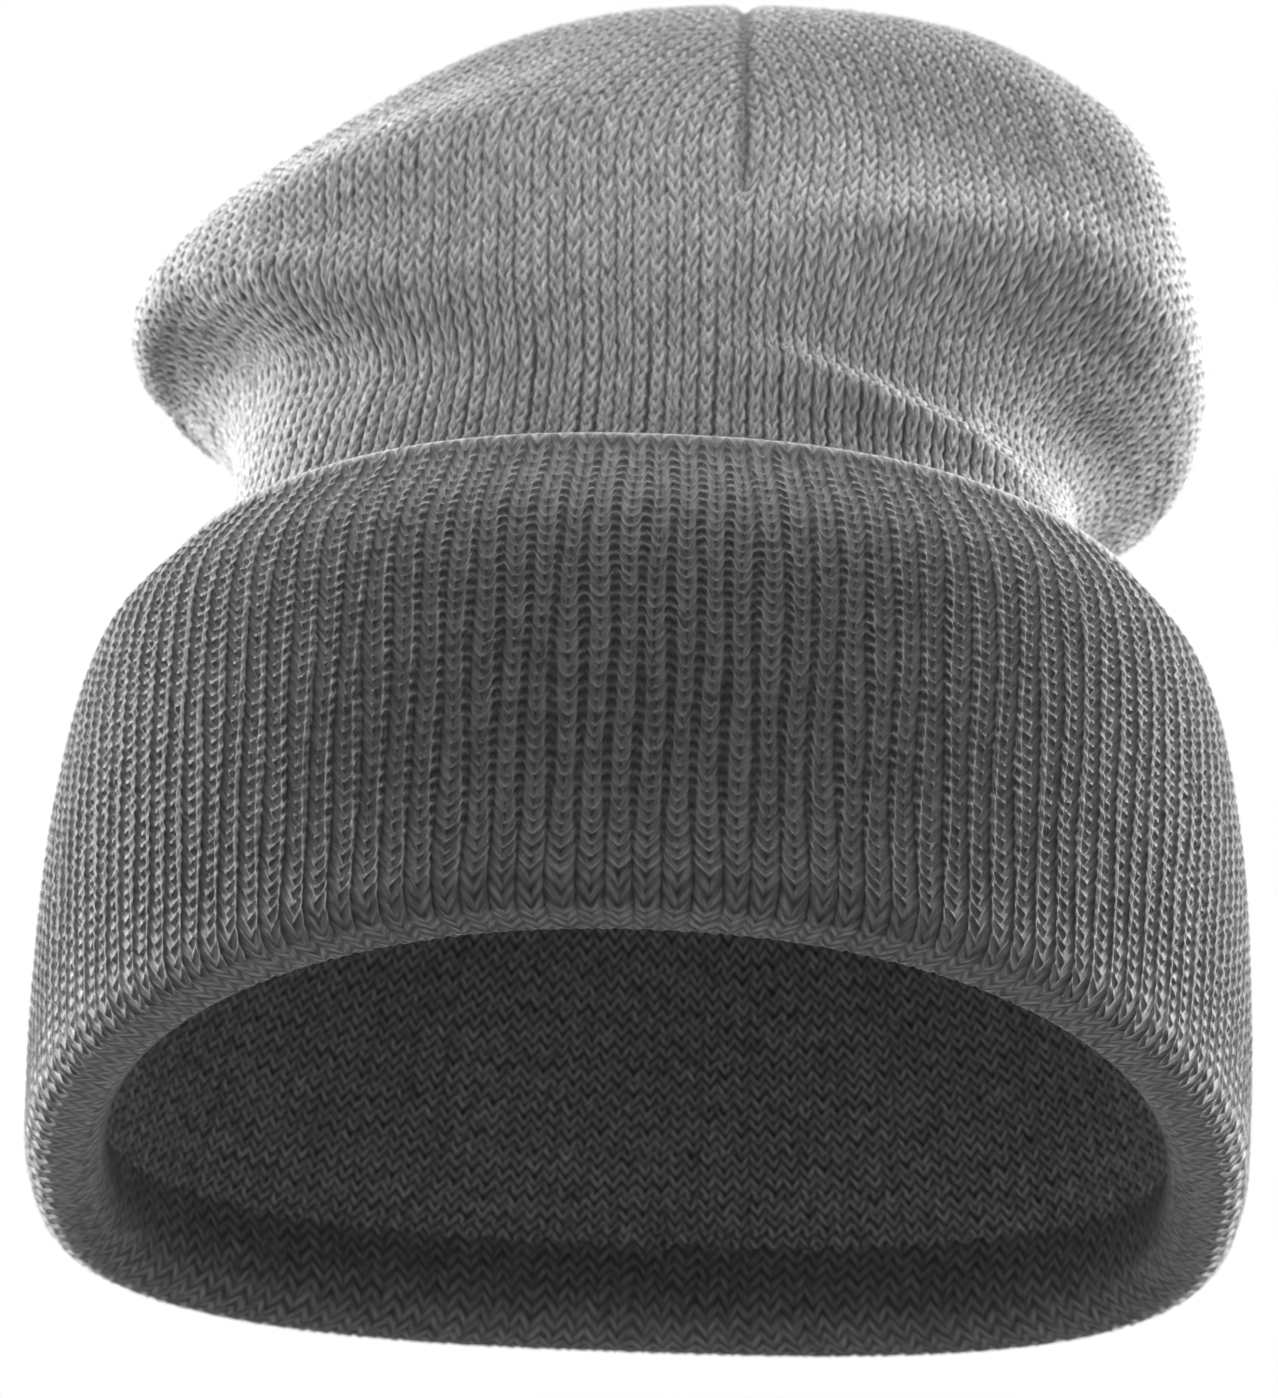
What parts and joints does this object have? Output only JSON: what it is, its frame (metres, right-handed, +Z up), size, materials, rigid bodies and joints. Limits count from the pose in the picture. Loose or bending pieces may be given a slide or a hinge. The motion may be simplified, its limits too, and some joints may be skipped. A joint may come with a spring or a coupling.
{
  "type": "knit beanie",
  "caption": "Double-layer ribbed knit beanie with a deep turned-up cuff, a pinched neck and a slouching crown closed by dart seams.",
  "frame": {"origin": "centre of the head opening, in the plane of the bottom fold that the hat stands on", "axes": "+Z up to the crown, -Y to the front of the hat, +X to the right as seen from the front"},
  "size_m": [0.2004, 0.1948, 0.2129],
  "materials": {
    "shell_knit": "heathered mid grey rib knit, fuzzy",
    "lining_knit": "heathered dark grey rib knit, fuzzy",
    "seam_thread": "dark grey sewing thread"
  },
  "bodies": {
    "cuff": {"bottom_fold": "shell_knit", "cuff_outer_ply": "shell_knit", "cuff_inner_ply": "shell_knit"},
    "head_tube": {"tube_outer_ply": "shell_knit", "tube_inner_ply": "lining_knit", "neck_outer_ply": "shell_knit", "neck_inner_ply": "lining_knit"},
    "crown_band": {"band_outer_ply": "shell_knit", "band_inner_ply": "lining_knit"},
    "crown_top": {"gore_outer_front_left": "shell_knit", "gore_outer_back_left": "shell_knit", "gore_outer_front_right": "shell_knit", "gore_outer_back_right": "shell_knit", "gore_inner_front_left": "lining_knit", "gore_inner_back_left": "lining_knit", "gore_inner_front_right": "lining_knit", "gore_inner_back_right": "lining_knit", "seam_outer_front": "seam_thread", "seam_outer_back": "seam_thread", "seam_outer_left": "seam_thread", "seam_outer_right": "seam_thread", "seam_inner_front": "seam_thread", "seam_inner_back": "seam_thread", "seam_inner_left": "seam_thread", "seam_inner_right": "seam_thread", "apex_tack": "seam_thread"}
  },
  "joints": [
    {"name": "cuff_turn_down", "type": "slide", "parent": "cuff", "child": "head_tube", "axis": [0, 0, 1], "range_m": [0, 0.06], "deforming": ["tube_outer_ply", "tube_inner_ply"]},
    {"name": "crown_nod", "type": "hinge", "parent": "head_tube", "child": "crown_band", "pos_m": [0, 0, 0.112], "axis": [1, 0, 0], "range_deg": [-18, 15], "stiffness_Nm_per_rad": 0.15, "deforming": ["neck_outer_ply", "neck_inner_ply"]},
    {"name": "crown_sway", "type": "hinge", "parent": "crown_band", "child": "crown_top", "pos_m": [0, 0.002, 0.133], "axis": [0, 1, 0], "range_deg": [-12, 12], "stiffness_Nm_per_rad": 0.12, "deforming": ["band_outer_ply", "band_inner_ply"]}
  ]
}
